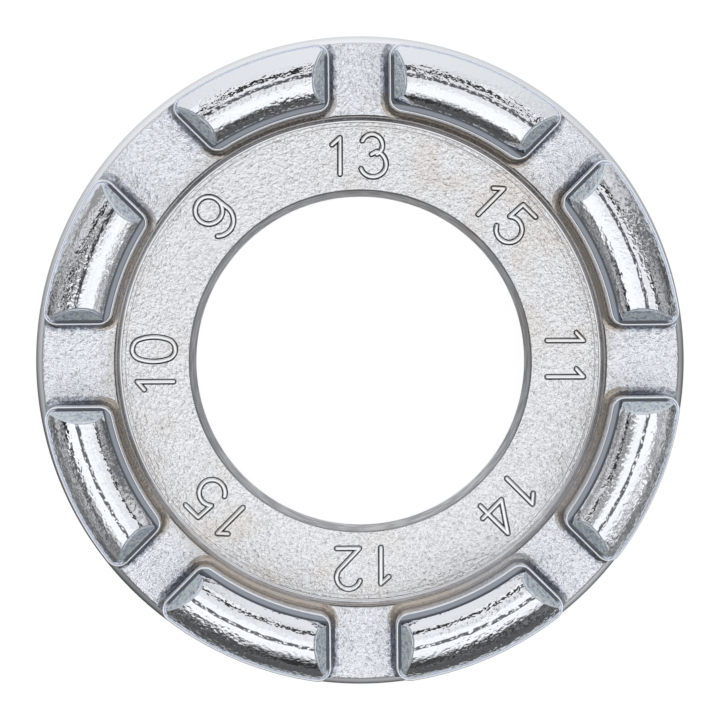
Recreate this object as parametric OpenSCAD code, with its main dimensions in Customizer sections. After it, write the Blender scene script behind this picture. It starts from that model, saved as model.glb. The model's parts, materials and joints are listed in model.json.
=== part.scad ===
// Ring spoke wrench: a numbered ring that carries eight jaws, with a nipple slot between each pair.
// The back face lies on the XY plane, the jaws point up, and the slot marked 13 points along +Y.

/* [Ring] */
// Outer diameter of the ring
ring_d = 40; // [37:0.5:44]
// Thickness of the ring, from the back face to the floors of the slots
ring_t = 4.2; // [3.8:0.1:6]
// Height of the rounded shoulder below the slot floors
shoulder_h = 2; // [1:0.1:2.4]
// How far the shoulder draws in where it meets the slot floors
shoulder_in = 0.6; // [0.3:0.05:0.9]
// Radius of the outer edge of the back face
back_round = 0.8; // [0.3:0.1:1.2]

/* [Nipple slots] */
// Width of the slot marked 9, across the flats of its nipple
slot_9 = 5.6; // [5.3:0.05:5.8]
// Width of the slot marked 10
slot_10 = 4.9; // [4.7:0.05:5.2]
// Width of the slot marked 11
slot_11 = 4.3; // [4.2:0.05:4.6]
// Width of the slot marked 12
slot_12 = 3.95; // [3.85:0.05:4.15]
// Width of the slot marked 13
slot_13 = 3.6; // [3.5:0.05:3.8]
// Width of the slot marked 14
slot_14 = 3.4; // [3.3:0.05:3.48]
// Width of each of the two slots marked 15
slot_15 = 3.25; // [3.1:0.05:3.28]

/* [Jaws] */
// Width of a jaw, across the ring
jaw_w = 4; // [3.5:0.1:4.5]
// Height of a jaw's walls above the slot floors
jaw_h = 3; // [2.4:0.1:4]
// Radius of a jaw's upright corners
jaw_corner = 0.8; // [0.6:0.05:1]
// Radius of the fillet at a jaw's foot
jaw_foot = 0.35; // [0.2:0.05:0.45]
// Height of the dome above a jaw's walls
dome_h = 1.1; // [0.8:0.05:1.5]
// Lean of the flat cuts at the ends of the dome, in degrees from upright
dome_lean = 40; // [30:1:50]
// Ledge on the jaw inside the dome, towards the bore
dome_ledge_in = 0.32; // [0.2:0.02:0.5]
// Ledge on the jaw outside the dome, towards the rim
dome_ledge_out = 0.25; // [0.2:0.01:0.4]
// Ledge on the jaw at each end of the dome
dome_ledge_end = 0.2; // [0.19:0.01:0.35]
// Length of the tenon under a jaw, along the ring
tenon_l = 3.6; // [2.5:0.1:4.5]
// Width of the tenon, across the ring
tenon_w = 2; // [1.4:0.1:2.4]
// Depth of the tenon below the slot floors
tenon_h = 1.6; // [1:0.1:2.4]

/* [Number ring] */
// Width of the number ring, from its seat in the ring to the bore
face_w = 4.6; // [4.1:0.1:5]
// Width of the bevel at the front edge of the bore
bore_bevel = 0.35; // [0.1:0.05:0.5]
// Width of the bevel at the back edge of the bore
bore_back_bevel = 0.15; // [0.05:0.05:0.3]
// Depth of the number face below the slot floors
recess_h = 1; // [0.6:0.1:1.4]
// How far the wall round the number face slopes out on its way up
recess_slope = 0.35; // [0.1:0.05:0.6]
// Thickness of the number ring's flange
flange_t = 1.8; // [1:0.1:2]
// Width of the seat in the ring that the flange rests on
seat_w = 2.5; // [1.5:0.1:3]

/* [Numerals] */
// Height of the numerals, between the middles of their strokes
digit_h = 2.58; // [2:0.02:2.7]
// Width of the numerals' strokes
stroke_w = 0.34; // [0.2:0.02:0.4]
// Height of the numerals above the number face
digit_rise = 0.16; // [0.08:0.02:0.3]
// How far the numerals sit outward of the middle of the number face
digit_shift = 0.1; // [0:0.02:0.12]

/* [Fits] */
// Clearance of each tenon in its pocket, and of the number ring in the ring
fit_gap = 0.03; // [0.02:0.01:0.08]

/* [Hidden] */
$fn = 96;
// Overrun of the shapes that cut
over = 0.5;

// The marks round the ring, clockwise from +Y, and the widths of their slots
gauges = [13, 15, 11, 14, 12, 15, 10, 9];
slot_w = [slot_13, slot_15, slot_11, slot_14, slot_12, slot_15, slot_10, slot_9];
slots = len(slot_w);
pitch = 360 / slots;

// Ring: radii from the rim inwards
ring_r = ring_d / 2;
shoulder_r = (shoulder_h ^ 2 + shoulder_in ^ 2) / (2 * shoulder_in);
jaw_out_r = ring_r - shoulder_in;
jaw_in_r = jaw_out_r - jaw_w;
floor_in_r = jaw_in_r - jaw_foot;
seat_r = floor_in_r - recess_slope;
back_hole_r = seat_r - seat_w;
bore_r = seat_r - face_w;

// Heights above the back face
face_z = ring_t - recess_h;
seat_z = face_z - flange_t;
jaw_top = ring_t + jaw_h;

// Jaws: the foot's fillet is made in steps, and a corner's round crosses its walls by the bite
foot_steps = 4;
foot_rise = jaw_foot / foot_steps;
corner_bite = 0.01;
dome_sink = 0.1;
dome_in_r = jaw_in_r + dome_ledge_in;
dome_out_r = jaw_out_r - dome_ledge_out;
dome_half = (dome_out_r - dome_in_r) / 2;
dome_r = (dome_half ^ 2 + dome_h ^ 2) / (2 * dome_h);
dome_corner_gap = 0.15;
tenon_mid_r = (jaw_in_r + jaw_out_r) / 2;
tenon_angle = tenon_l / tenon_mid_r * 180 / PI;
gap_angle = fit_gap / tenon_mid_r * 180 / PI;

// Numerals: a stroke's bar is a little narrower than its round ends
bar_bite = 0.01;
bar_w = stroke_w - bar_bite;

// The line that numerals stand on, and each part's place as shares of their height. A bow's shares are
// its centre and its radius, and its angles, in degrees from the right, are where it starts and ends
digit_mid_r = (bore_r + bore_bevel + seat_r) / 2 + digit_shift;
digit_base_r = digit_mid_r - digit_h / 2;
tens_share = -0.476;
units_share = 0.298;
units_one_share = 0.39;
one_foot_share = 0.03;
one_top_share = 0.9;
one_flag_shares = [-0.19, 0.73];
zero_half_shares = [0.293, 0.512];
zero_middle_share = 0.5;
zero_end_share = 0.25;
two_bow_shares = [0, 0.738, 0.286];
two_bow_angles = [-40, 163];
two_foot_shares = [-0.26, 0.05];
two_toe_share = 0.28;
three_top_bow_shares = [-0.01, 0.726, 0.25];
three_top_bow_angles = [-62, 157];
three_low_bow_shares = [0.015, 0.274, 0.31];
three_low_bow_angles = [-158, 72];
three_waist_shares = [-0.025, 0.5];
four_stem_shares = [0.14, 0.05, 0.98];
four_bar_shares = [-0.32, 0.3, 0.31];
five_bow_shares = [0, 0.298, 0.31];
five_bow_angles = [-152, 132];
five_top_shares = [-0.18, 0.952];
five_flag_share = 0.24;
nine_bow_shares = [0, 0.667, 0.325];
nine_tail_shares = [-0.02, 0.357, 0.381];
nine_tail_angles = [-135, 0];

body_ring();
number_ring();
jaw_13_15();
jaw_15_11();
jaw_11_14();
jaw_14_12();
jaw_12_15();
jaw_15_10();
jaw_10_9();
jaw_9_13();

// The carrying ring: a turned section with a pocket for each jaw's tenon
module body_ring() color("silver") difference() {
    rotate_extrude() body_section();
    for (i = [0 : slots - 1]) at_slot(i) tenon_shape(fit_gap, gap_angle, over);
}

// The flanged bush that bears the numerals and the bore
module number_ring() color("gainsboro") {
    rotate_extrude() number_section();
    for (i = [0 : slots - 1]) at_slot(i)
        translate([0, digit_base_r, face_z]) mark(gauges[i]);
}

// Each jaw, named for the two slots that it parts, clockwise
module jaw_13_15() color("lightgray") jaw(0);
module jaw_15_11() color("lightgray") jaw(1);
module jaw_11_14() color("lightgray") jaw(2);
module jaw_14_12() color("lightgray") jaw(3);
module jaw_12_15() color("lightgray") jaw(4);
module jaw_15_10() color("lightgray") jaw(5);
module jaw_10_9() color("lightgray") jaw(6);
module jaw_9_13() color("lightgray") jaw(7);

// Turns its child so that y runs outward along the slot's middle line
module at_slot(i) rotate([0, 0, -i * pitch]) children();

// A corner of a section, cut to a quarter round; the child frame's x and y point out of the corner
module corner_cut(r) difference() {
    square(r + over);
    circle(r);
}

// The ring's section: x is the radius and y the height
module body_section() difference() {
    translate([back_hole_r, 0]) square([ring_r - back_hole_r, ring_t]);
    // rounded shoulder up to the slot floors
    translate([ring_r - shoulder_r, ring_t - shoulder_h]) corner_cut(shoulder_r);
    // outer edge of the back face
    translate([ring_r - back_round, back_round]) mirror([0, 1]) corner_cut(back_round);
    // seat for the number ring, and the wall that slopes out above it
    translate([back_hole_r - over, seat_z]) square([seat_w + over, ring_t]);
    polygon([
        [seat_r - over, face_z],
        [seat_r, face_z],
        [floor_in_r, ring_t],
        [floor_in_r, ring_t + over],
        [seat_r - over, ring_t + over]
    ]);
}

// The number ring's section: a spigot down to the back face, and a flange on the seat
module number_section() difference() {
    union() {
        translate([bore_r, 0]) square([back_hole_r - fit_gap - bore_r, face_z]);
        translate([bore_r, seat_z]) square([seat_r - fit_gap - bore_r, flange_t]);
    }
    polygon([
        [bore_r - over, face_z - bore_bevel - over],
        [bore_r + bore_bevel + over, face_z + over],
        [bore_r - over, face_z + over]
    ]);
    polygon([
        [bore_r - over, bore_back_bevel + over],
        [bore_r + bore_back_bevel + over, -over],
        [bore_r - over, -over]
    ]);
}

// One jaw, on the clockwise side of slot i: walls, foot, dome and tenon
module jaw(i) at_slot(i) {
    jaw_layer(i, 0, ring_t, jaw_h);
    for (k = [0 : foot_steps - 1]) jaw_layer(i, foot_reach(k + 0.5), ring_t, (k + 1) * foot_rise);
    dome(i);
    tenon_shape(0, 0, foot_rise);
}

// How far the foot's hollow fillet reaches out from the wall, k steps above the slot floor
function foot_reach(k) = jaw_foot - sqrt(jaw_foot ^ 2 - (jaw_foot - k * foot_rise) ^ 2);

// Middles of the corners beside slot i, on radius r
function corner_x(i) = slot_w[i % slots] / 2 + jaw_corner;
function corner_point(i, r) = [corner_x(i), sqrt(r ^ 2 - corner_x(i) ^ 2)];

// A jaw's outline, grown by e but for its face to the rim, from height z up by h
module jaw_layer(i, e, z, h) translate([0, 0, z]) linear_extrude(h) difference() {
    intersection() {
        difference() {
            circle(jaw_out_r + min(e, 0));
            circle(jaw_in_r - e);
        }
        polygon([[0, 0], [0, ring_d], [ring_d * sin(pitch), ring_d * cos(pitch)]]);
    }
    side_cut(i, e);
    rotate(-pitch) mirror([1, 0]) side_cut(i + 1, e);
}

// What is cut from the outline beside slot i: the slot, and a rounded corner at each end of it
module side_cut(i, e) {
    out_c = corner_point(i, jaw_out_r - jaw_corner);
    in_c = corner_point(i, jaw_in_r + jaw_corner);
    translate([-over, 0]) square([slot_w[i % slots] / 2 - e + over, ring_r]);
    corner_notch(out_c, out_c * (ring_r + over) / norm(out_c), e);
    corner_notch(in_c, in_c * (jaw_in_r - 2 * over) / norm(in_c), e);
}

// The waste outside a rounded corner about c; far is a point past the corner on the line from the bore
module corner_notch(c, far, e) difference() {
    polygon([c, [-over, c[1]], [-over, far[1]], far]);
    translate(c) circle(jaw_corner + e + corner_bite);
}

// The dome on a jaw: a round section carried along the ring and cut off flat at both ends
module dome(i) intersection() {
    difference() {
        rotate([0, 0, 90 - pitch]) rotate_extrude(angle = pitch) dome_section();
        dome_end(i);
        rotate([0, 0, -pitch]) mirror([1, 0, 0]) dome_end(i + 1);
    }
    jaw_layer(i, -dome_corner_gap, ring_t, jaw_h + dome_h + over);
}

// Section of the dome, sunk a little into the jaw
module dome_section() intersection() {
    translate([dome_in_r + dome_half, jaw_top + dome_h - dome_r]) circle(dome_r);
    translate([jaw_in_r, jaw_top - dome_sink]) square([jaw_w, dome_h + over]);
}

// What is cut from the dome beside slot i, along a plane that leans away from the slot
module dome_end(i)
    translate([slot_w[i % slots] / 2 + dome_ledge_end, 0, jaw_top])
        rotate([0, dome_lean, 0])
            translate([-ring_r, 0, -ring_r])
                cube([ring_r, ring_r, 2 * ring_r]);

// A jaw's tenon, or with a gap, the pocket that it goes into; it rises to lift above the floor
module tenon_shape(gap, angle, lift)
    rotate([0, 0, 90 - pitch / 2 - tenon_angle / 2 - angle])
        rotate_extrude(angle = tenon_angle + 2 * angle)
            translate([tenon_mid_r - tenon_w / 2 - gap, ring_t - tenon_h - gap])
                square([tenon_w + 2 * gap, tenon_h + gap + lift]);

// A mark of one or two numerals that stand on y = 0
module mark(number) {
    tens = floor(number / 10);
    units = number % 10;
    if (tens == 0) digit(units);
    else {
        move_x(tens_share) digit(tens);
        move_x(units == 1 ? units_one_share : units_share) digit(units);
    }
}

module move_x(share) translate([share * digit_h, 0, 0]) children();

// A numeral, drawn in strokes with round ends
module digit(n) {
    if (n == 0) zero();
    if (n == 1) one();
    if (n == 2) two();
    if (n == 3) three();
    if (n == 4) four();
    if (n == 5) five();
    if (n == 9) nine();
}

module one() {
    line([0, one_foot_share], [0, one_top_share]);
    line(one_flag_shares, [0, one_top_share]);
}

// An oval of four arcs: the ends are of a chosen radius, and the sides' radius makes them meet smoothly
module zero() {
    half_w = zero_half_shares[0];
    end_y = zero_half_shares[1] - zero_end_share;
    side_r = (zero_end_share ^ 2 - half_w ^ 2 - end_y ^ 2) / (2 * (zero_end_share - half_w));
    side_a = atan2(end_y, side_r - half_w);
    for (s = [-1, 1]) {
        bow([0, zero_middle_share + s * end_y, zero_end_share], s * 90 - 90 + side_a, s * 90 + 90 - side_a);
        bow([s * (half_w - side_r), zero_middle_share, side_r], 90 - s * 90 - side_a, 90 - s * 90 + side_a);
    }
}

module two() {
    bow(two_bow_shares, two_bow_angles[0], two_bow_angles[1]);
    line(bow_point(two_bow_shares, two_bow_angles[0]), two_foot_shares);
    line(two_foot_shares, [two_toe_share, two_foot_shares[1]]);
}

module three() {
    bow(three_top_bow_shares, three_top_bow_angles[0], three_top_bow_angles[1]);
    bow(three_low_bow_shares, three_low_bow_angles[0], three_low_bow_angles[1]);
    line(three_waist_shares, bow_point(three_low_bow_shares, three_low_bow_angles[1]));
}

module four() {
    stem_x = four_stem_shares[0];
    bar_y = four_bar_shares[1];
    line([stem_x, four_stem_shares[1]], [stem_x, four_stem_shares[2]]);
    line([four_bar_shares[0], bar_y], [stem_x, four_stem_shares[2]]);
    line([four_bar_shares[0], bar_y], [four_bar_shares[2], bar_y]);
}

module five() {
    bow(five_bow_shares, five_bow_angles[0], five_bow_angles[1]);
    line(bow_point(five_bow_shares, five_bow_angles[1]), five_top_shares);
    line(five_top_shares, [five_flag_share, five_top_shares[1]]);
}

module nine() {
    bow(nine_bow_shares, 0, 360);
    bow(nine_tail_shares, nine_tail_angles[0], nine_tail_angles[1]);
    line(bow_point(nine_tail_shares, nine_tail_angles[1]), bow_point(nine_bow_shares, 0));
}

// A point on a bow's middle line, at an angle
function bow_point(b, a) = [b[0] + b[2] * cos(a), b[1] + b[2] * sin(a)];

// A stroke's round end, sunk into the number ring by its own rise
module dot(p) translate([p[0] * digit_h, p[1] * digit_h, -digit_rise])
    cylinder(d = stroke_w, h = 2 * digit_rise);

// A straight stroke between two points
module line(p, q) {
    run = norm(q - p) * digit_h;
    dot(p);
    dot(q);
    translate([p[0] * digit_h, p[1] * digit_h, -digit_rise])
        rotate([0, 0, atan2(q[1] - p[1], q[0] - p[0])])
            translate([0, -bar_w / 2, 0]) cube([run, bar_w, 2 * digit_rise]);
}

// A round stroke, from one angle up to another
module bow(b, from, to) {
    if (to - from < 360) {
        dot(bow_point(b, from));
        dot(bow_point(b, to));
    }
    translate([b[0] * digit_h, b[1] * digit_h, -digit_rise])
        rotate([0, 0, from])
            rotate_extrude(angle = to - from)
                translate([b[2] * digit_h - bar_w / 2, 0])
                    square([bar_w, 2 * digit_rise]);
}
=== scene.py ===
"""Dresses the ring spoke wrench: its turned rings, raised gauge numbers, chromed jaws and a plain studio."""

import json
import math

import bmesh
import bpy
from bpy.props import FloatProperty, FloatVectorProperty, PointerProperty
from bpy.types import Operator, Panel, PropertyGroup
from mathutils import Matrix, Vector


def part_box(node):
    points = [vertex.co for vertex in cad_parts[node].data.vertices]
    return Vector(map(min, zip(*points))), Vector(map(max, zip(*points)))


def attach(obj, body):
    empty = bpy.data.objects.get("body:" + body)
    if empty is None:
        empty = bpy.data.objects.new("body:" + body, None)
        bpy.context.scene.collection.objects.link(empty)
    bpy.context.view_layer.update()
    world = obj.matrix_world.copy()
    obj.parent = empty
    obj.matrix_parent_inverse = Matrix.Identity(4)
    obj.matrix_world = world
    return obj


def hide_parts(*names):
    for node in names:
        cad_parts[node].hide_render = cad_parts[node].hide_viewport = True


bl_info = {
    "name": "Ring Spoke Wrench",
    "version": (1, 0, 0),
    "blender": (4, 5, 0),
    "location": "3D View > Sidebar > Spoke Wrench",
    "description": "Models the rings, jaws and gauge numbers of a ring spoke wrench and lights them",
    "category": "Object",
}

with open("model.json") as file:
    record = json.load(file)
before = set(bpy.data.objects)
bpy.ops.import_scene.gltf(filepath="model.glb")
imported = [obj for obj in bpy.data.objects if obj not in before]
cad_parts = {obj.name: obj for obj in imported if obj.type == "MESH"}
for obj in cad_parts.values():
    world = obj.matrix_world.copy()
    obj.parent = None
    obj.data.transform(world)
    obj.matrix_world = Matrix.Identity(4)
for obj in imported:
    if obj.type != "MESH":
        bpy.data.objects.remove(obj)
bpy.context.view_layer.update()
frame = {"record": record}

MM = 0.001
WELD = 0.0001 * MM
GAUGES = (13, 15, 11, 14, 12, 15, 10, 9)
SLOTS = len(GAUGES)
PITCH = 2 * math.pi / SLOTS
UP = Vector((0, 0, 1))
WHITE = (1, 1, 1, 1)
RING_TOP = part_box("body_ring")[1]
JAW_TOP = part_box("jaw_13_15")[1]
BORE = next(m for m in frame["record"]["mounts"] if m["name"] == "centre_bore")
JAW_MM = (JAW_TOP.z - RING_TOP.z) / MM
JAW_WALL_MM = 3.25


def length(name, mm, text):
    """A size that the sidebar shows as a length; mm is its default in millimetres."""
    return FloatProperty(name=name, description=text, default=mm * MM, unit="LENGTH", precision=5)


def tilt(name, degrees, text):
    """An angle that the sidebar shows in degrees."""
    return FloatProperty(name=name, description=text, default=math.radians(degrees), subtype="ANGLE")


def portion(name, share, text):
    """A number from 0 to 1."""
    return FloatProperty(name=name, description=text, default=share, min=0, max=1)


def colour(name, rgb, text):
    """A colour that the sidebar shows as a swatch."""
    settings = {"size": 3, "subtype": "COLOR", "min": 0, "max": 1}
    return FloatVectorProperty(name=name, description=text, default=rgb, **settings)


class RingSizes(PropertyGroup):
    """Sizes of the carrying ring and of the number ring that sits in it."""

    ring_r: length("Ring radius", RING_TOP.x / MM, "From the axis to the rim")
    floor_z: length("Slot floor height", RING_TOP.z / MM, "From the back face to the slot floors")
    shoulder_h: length("Shoulder height", 2.0, "Height of the rounded shoulder below the slot floors")
    shoulder_in: length("Shoulder draw", 0.48, "How far the shoulder draws in below the slot floors")
    back_round: length("Back edge radius", 0.8, "Radius of the outer edge of the back face")
    edge_round: length("Step edge radius", 0.14, "Radius where the slot floors turn down to the number face")
    hollow_round: length("Step hollow radius", 0.2, "Radius where the step levels out to the number face")
    crown_round: length("Crown radius", 0.25, "Radius where the slot floors turn down to the shoulder")
    rim_round: length("Fine edge radius", 0.05, "Radius of the sharp turned edges")
    bore_r: length("Bore radius", BORE["dims"]["r_mm"], "From the axis to the wall of the bore")
    bore_bevel: length("Bore bevel", 0.42, "Width of the bevel at the front edge of the bore")
    bore_back_bevel: length("Back bevel", 0.1, "Width of the bevel at the back edge of the bore")
    bore_draft: length("Bore draft", 0.2, "How much wider the bore is at the back")
    recess_h: length("Number face depth", 1.0, "Depth of the number face below the slot floors")
    recess_slope: length("Step slope", 0.35, "How far the step leans out on its way up")
    flange_t: length("Flange thickness", 1.8, "Thickness of the number ring above its seat")
    seat_w: length("Seat width", 2.5, "Width of the seat that the number ring rests on")
    fit_gap: length("Fit gap", 0.03, "Clearance between pieces that fit into each other")
    guard: length("Guard", 0.03, "From a rounded edge to the guard edge beside it")
    groove_in: length("Groove inset", 0.22, "From the number face's edge to the fine groove round it")
    groove_w: length("Groove width", 0.07, "Width of the fine groove round the number face")
    groove_h: length("Groove depth", 0.02, "Depth of the fine groove round the number face")


class JawSizes(PropertyGroup):
    """Sizes of the jaws and of the slots between them."""

    slot_w: FloatVectorProperty(
        name="Slot widths",
        description="Widths of the slots, clockwise from the one marked 13",
        default=tuple(w * MM for w in (3.6, 3.25, 4.3, 3.4, 3.95, 3.25, 4.9, 5.6)),
        size=SLOTS,
        unit="LENGTH",
        precision=5,
    )
    width: length("Jaw width", 4.12, "Width of a jaw across the ring")
    wall_h: length("Wall height", JAW_WALL_MM, "Height of a jaw's walls above the slot floors")
    corner: length("Corner radius", 0.8, "Radius of a jaw's upright corners")
    inner_foot: length("Inner foot", 0.35, "From a jaw's inner wall to the edge of the slot floors")
    foot: length("Foot fillet", 0.47, "Radius of the hollow fillet at a jaw's foot")
    lip: length("Lip radius", 0.065, "Radius of the rounded lip round the top of a jaw")
    groove_h: length("Groove depth", 0.16, "Depth of the groove between the lip and the dome")
    dome_h: length("Dome height", JAW_MM - JAW_WALL_MM, "Height of the dome above the lip")
    ledge_in: length("Inner ledge", 0.5, "From the jaw's inner wall to the dome")
    ledge_out: length("Outer ledge", 0.13, "From the jaw's outer wall to the dome")
    crest: length("Crest line", 2.3, "From the jaw's outer wall to the crest of its dome")
    flank: tilt("Flank slope", 47, "How steep the dome gets before it drops straight to its groove")
    ledge_end: length("End ledge", 0.31, "From the jaw's end walls to the dome's cut ends")
    dome_gap: length("Dome corner gap", 0.15, "From the jaw's walls to the rounded corners of its dome")
    dome_corner: length("Dome corner radius", 0.75, "Radius of the rounded corners of the dome")
    corner_lean: tilt("Dome corner lean", 30, "How far the dome's rounded corners lean from upright")
    lean: tilt("End cut lean", 42, "How far the dome's cut ends lean from upright")
    tenon_l: length("Tenon length", 3.6, "Length of the tenon along the ring")
    tenon_w: length("Tenon width", 2.0, "Width of the tenon across the ring")
    tenon_h: length("Tenon depth", 1.6, "Depth of the tenon below the slot floors")


class NumeralSizes(PropertyGroup):
    """Sizes of the raised gauge numbers."""

    height: length("Numeral height", 2.58, "Between the middles of the lowest and highest strokes")
    stroke_w: length("Stroke width", 0.38, "Width of a stroke at its foot")
    rise: length("Stroke height", 0.16, "Height of the strokes above the number face")
    sink: length("Stroke sink", 0.03, "How far the strokes reach into the number ring")
    shift: length("Outward shift", 0.1, "From the middle of the number face outward")
    turn: tilt("Turn", 0.3, "Turn of the numbers past their slots")


class Finishes(PropertyGroup):
    """Colours, painted shade, grain and roughness of the metal."""

    satin: colour("Satin metal", (0.88, 0.905, 0.96), "The blasted and chromed slot floors")
    pale: colour("Pale metal", (0.87, 0.88, 0.91), "The blasted and chromed number face")
    chrome: colour("Chrome", (0.85, 0.875, 0.925), "The polished jaws")
    cut: colour("Cut ends", (0.79, 0.855, 0.98), "The blasted cuts at the ends of the domes")
    # Brown tint of the rings, and the brown of the painted shade on the step wall and the jaws' walls
    stain_and_shade: colour("Stain", (0.4, 0.33, 0.25), "The brown tint left in corners by the plating bath")
    # Grey of the painted shade on the step wall and the jaws' walls
    shade_grey: colour("Dull metal", (0.34, 0.345, 0.365), "Corners that the plating bath left grey")
    # Painted shade in creases and grooves, and the painted dark reflection on the domes
    dark: colour("Dark metal", (0.125, 0.135, 0.155), "Creases and grooves that the polish does not reach")
    grain: length("Grain size", 0.24, "Size of the grains that blasting leaves")
    grain_h: length("Grain depth", 0.11, "Depth of the grains that blasting leaves")
    grain_shade: portion("Grain shade", 0.4, "How dark the pits between grains are")
    ripple: length("Ripple size", 0.2, "Size of the ripples in the polished skin")
    ripple_h: length("Ripple depth", 0.018, "Depth of the ripples in the polished skin")
    satin_rough: portion("Satin roughness", 0.16, "Roughness of the rings and of the jaws' walls")
    bevel_rough: portion("Bevel roughness", 0.38, "Roughness of the bevel round the bore")
    chrome_rough: portion("Chrome roughness", 0.03, "Roughness of the polished domes")
    groove_rough: portion("Groove roughness", 0.3, "Roughness of the ledges round the domes")
    cut_rough: portion("Cut roughness", 0.6, "Roughness of the domes' cut ends")


class Studio(PropertyGroup):
    """The camera's place and the paper under the wrench."""

    distance: length("Camera distance", 250, "From the camera to the ring")
    aside: length("Camera aside", -3.9, "How far the camera stands to the right of the ring's axis")
    ahead: length("Camera ahead", 8.2, "How far the camera stands beyond the ring's axis, towards slot 13")
    roll: tilt("Camera roll", -0.45, "Turn of the camera about its view")
    view_w: length("View width", 44.5, "Width that the picture covers at the rim")
    paper: colour("Paper", (0.93, 0.93, 0.93), "The sheet that the wrench lies on")


SETTINGS = {
    "wrench_ring": RingSizes,
    "wrench_jaws": JawSizes,
    "wrench_numerals": NumeralSizes,
    "wrench_finishes": Finishes,
    "wrench_studio": Studio,
}


# Outlines


def polar(radius, angle):
    """A flat point at an angle, counted from +X towards +Y."""
    return Vector((radius * math.cos(angle), radius * math.sin(angle)))


def arc(centre, radius, start, end, steps):
    """Points along an arc, with both its ends."""
    return [Vector(centre) + polar(radius, start + (end - start) * k / steps) for k in range(steps + 1)]


def rounded(corners, guard, steps=4):
    """A closed outline from corners of (x, y, radius), each rounded by its radius.

    A guard point at a short way from each rounding keeps the flats beside it flat to the light.
    """
    points = []
    for k, (x, y, radius) in enumerate(corners):
        here = Vector((x, y))
        if radius == 0:
            points.append(here)
            continue
        to_last = (Vector(corners[k - 1][:2]) - here).normalized()
        to_next = (Vector(corners[(k + 1) % len(corners)][:2]) - here).normalized()
        half = to_last.angle(to_next) / 2
        centre = here + (to_last + to_next).normalized() * radius / math.sin(half)
        reach = radius / math.tan(half)
        first = here + to_last * reach - centre
        last = here + to_next * reach - centre
        turn = math.atan2(first.x * last.y - first.y * last.x, first.dot(last))
        angle = math.atan2(first.y, first.x)
        points.append(here + to_last * (reach + guard))
        points += arc(centre, radius, angle, angle + turn, steps)
        points.append(here + to_next * (reach + guard))
    return points


# Meshes


def closed_loop(bm, points):
    """Vertices at the points, joined by edges into a loop."""
    verts = [bm.verts.new(p) for p in points]
    edges = [bm.edges.new(pair) for pair in zip(verts, verts[1:] + verts[:1])]
    return verts + edges


def open_chain(bm, points):
    """Vertices at the points, joined by edges."""
    verts = [bm.verts.new(p) for p in points]
    edges = [bm.edges.new(pair) for pair in zip(verts, verts[1:])]
    return verts + edges


def verts_of(geom):
    """The vertices among the items of a mesh."""
    return [item for item in geom if isinstance(item, bmesh.types.BMVert)]


def edges_of(geom):
    """The edges among the items of a mesh."""
    return [item for item in geom if isinstance(item, bmesh.types.BMEdge)]


def spin(bm, geom, angle, steps, centre=(0, 0, 0)):
    """Spins loose geometry about an upright axis."""
    whole = abs(abs(angle) - 2 * math.pi) < WELD
    bmesh.ops.spin(
        bm, geom=geom, cent=centre, axis=UP, dvec=(0, 0, 0), angle=angle, steps=steps, use_merge=whole
    )


def turned(outline, steps, start=0):
    """A ring turned from a closed outline of (radius, height) points."""
    bm = bmesh.new()
    loop = closed_loop(bm, [(r * math.cos(start), r * math.sin(start), z) for r, z in outline])
    spin(bm, loop, 2 * math.pi, steps)
    clean(bm)
    return bm


def clean(bm):
    """Merges doubles and turns the faces outwards."""
    bmesh.ops.remove_doubles(bm, verts=bm.verts, dist=WELD)
    bmesh.ops.recalc_face_normals(bm, faces=bm.faces)


def add_part(bm, part):
    """Adds a finished part's mesh to bm and frees it."""
    mesh = bpy.data.meshes.new("part")
    part.to_mesh(mesh)
    part.free()
    bm.from_mesh(mesh)
    bpy.data.meshes.remove(mesh)


def finish_piece(bm, name, nodes, materials, crease=35):
    """Makes an object of the mesh and puts it in the place of its nodes.

    It is smooth up to the crease angle, in degrees.
    """
    for face in bm.faces:
        face.smooth = True
    mesh = bpy.data.meshes.new(name)
    bm.to_mesh(mesh)
    bm.free()
    mesh.set_sharp_from_angle(angle=math.radians(crease))
    for material in materials:
        mesh.materials.append(material)
    piece = bpy.data.objects.new(name, mesh)
    bpy.context.scene.collection.objects.link(piece)
    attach(piece, "root")
    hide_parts(*nodes)
    return piece


# Shader maths


class Wire:
    """An output socket of a shader, so that maths on it can be written as Python expressions."""

    def __init__(self, bench, socket):
        self.bench = bench
        self.socket = socket

    def maths(self, operation, *values):
        return self.bench.add("ShaderNodeMath", {"operation": operation}, values)

    def __add__(self, other):
        return self.maths("ADD", self, other)

    def __radd__(self, other):
        return self.maths("ADD", other, self)

    def __sub__(self, other):
        return self.maths("SUBTRACT", self, other)

    def __rsub__(self, other):
        return self.maths("SUBTRACT", other, self)

    def __mul__(self, other):
        return self.maths("MULTIPLY", self, other)

    def __rmul__(self, other):
        return self.maths("MULTIPLY", other, self)

    def __truediv__(self, other):
        return self.maths("DIVIDE", self, other)

    def __rtruediv__(self, other):
        return self.maths("DIVIDE", other, self)

    def __pow__(self, other):
        return self.maths("POWER", self, other)

    def most(self, other):
        return self.maths("MAXIMUM", self, other)

    def fraction(self):
        return self - self.maths("FLOOR", self)

    def sine(self):
        return self.maths("SINE", self)

    def cosine(self):
        return self.maths("COSINE", self)

    def arccosine(self):
        return self.maths("ARCCOSINE", self)

    def bearing(self, ahead):
        """The angle, clockwise from straight ahead, of a point this far to the right and that far ahead."""
        return self.maths("ARCTAN2", self, ahead)

    def ramp(self, low, high):
        """0 at low, 1 at high, and smooth between them; low may be the greater."""
        settings = {"interpolation_type": "SMOOTHSTEP"}
        inputs = {"Value": self, "From Min": low, "From Max": high}
        return self.bench.add("ShaderNodeMapRange", settings, inputs)

    def band(self, low, high, soft):
        """1 between low and high, and 0 outside them."""
        return self.ramp(low - soft, low + soft) * (1 - self.ramp(high - soft, high + soft))


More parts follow.
